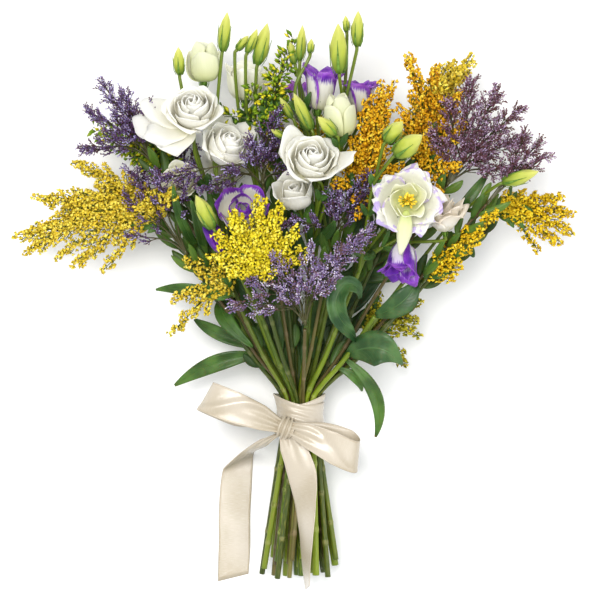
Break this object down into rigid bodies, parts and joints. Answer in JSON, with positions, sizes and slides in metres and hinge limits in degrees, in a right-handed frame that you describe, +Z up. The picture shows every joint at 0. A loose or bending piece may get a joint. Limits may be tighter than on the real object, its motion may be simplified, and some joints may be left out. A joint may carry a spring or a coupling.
{
  "type": "mixed flower bouquet",
  "caption": "Hand-tied bouquet of white and violet-rimmed lisianthus, goldenrod and sea lavender with a satin bow, lying on its back.",
  "frame": {"origin": "on the table, under the middle of the whole bouquet", "axes": "+Y along the stems towards the flowers, +Z up from the table, +X to the right as seen from above with the flowers at the top"},
  "size_m": [0.4544, 0.4636, 0.1456],
  "materials": {
    "cream_petal": "soft matt petal, greenish in its depth",
    "white_petal": "soft matt petal",
    "violet_rimmed_petal": "white petal with a violet rim",
    "withered_petal": "dry, browned petal",
    "violet_petal": "dark violet petal",
    "stem": "fresh green stem, slightly glossy",
    "leaf": "waxy green leaf",
    "goldenrod_yellow": "dense tiny florets",
    "goldenrod_orange": "dense tiny florets",
    "sea_lavender": "papery dry florets",
    "sea_lavender_maroon": "papery dry florets",
    "ribbon": "satin"
  },
  "bodies": {
    "root": {"bloom_cream_tulip_left": "cream_petal", "bloom_white_cup_top": "white_petal", "bloom_white_rose_left": "white_petal", "bloom_white_rose_middle": "white_petal", "bloom_white_half_hidden": "white_petal", "bloom_white_rose_front": "white_petal", "bloom_white_cup_front": "white_petal", "bloom_cream_tulip_right": "cream_petal", "bloom_violet_rim_tall": "violet_rimmed_petal", "bloom_violet_rim_small": "violet_rimmed_petal", "bloom_lilac_open": "white_petal", "bloom_withered": "withered_petal", "bloom_violet_nodding": "violet_rimmed_petal", "bloom_violet_rim_left": "violet_rimmed_petal", "bloom_violet_folded": "violet_petal", "bloom_back_left": "white_petal", "bloom_back_right": "white_petal", "bloom_back_top": "white_petal", "left_flower_stem": "stem", "top_left_flower_stem": "stem", "middle_flower_stem": "stem", "top_flower_stem": "stem", "right_flower_stem": "stem", "left_front_flower_stem": "stem", "far_right_flower_stem": "stem", "back_left_flower_stem": "stem", "back_right_flower_stem": "stem", "left_leafy_stem": "leaf", "right_leafy_stem": "leaf", "spray_stems": "stem", "goldenrod_back_stem": "stem", "goldenrod_left_plume": "goldenrod_yellow", "goldenrod_upper_left": "goldenrod_yellow", "goldenrod_top": "goldenrod_yellow", "goldenrod_front_left": "goldenrod_yellow", "goldenrod_low_left": "goldenrod_yellow", "goldenrod_orange_middle": "goldenrod_orange", "goldenrod_orange_right": "goldenrod_orange", "goldenrod_upper_right": "goldenrod_yellow", "goldenrod_right_plume": "goldenrod_yellow", "goldenrod_low_right": "goldenrod_yellow", "goldenrod_olive": "goldenrod_yellow", "goldenrod_back": "goldenrod_yellow", "sea_lavender_far_left": "sea_lavender", "sea_lavender_left": "sea_lavender", "sea_lavender_low_left": "sea_lavender", "sea_lavender_front": "sea_lavender", "sea_lavender_middle": "sea_lavender", "sea_lavender_right": "sea_lavender_maroon", "sea_lavender_far_right": "sea_lavender_maroon", "sea_lavender_back": "sea_lavender", "satin_ribbon": "ribbon"}
  },
  "joints": []
}
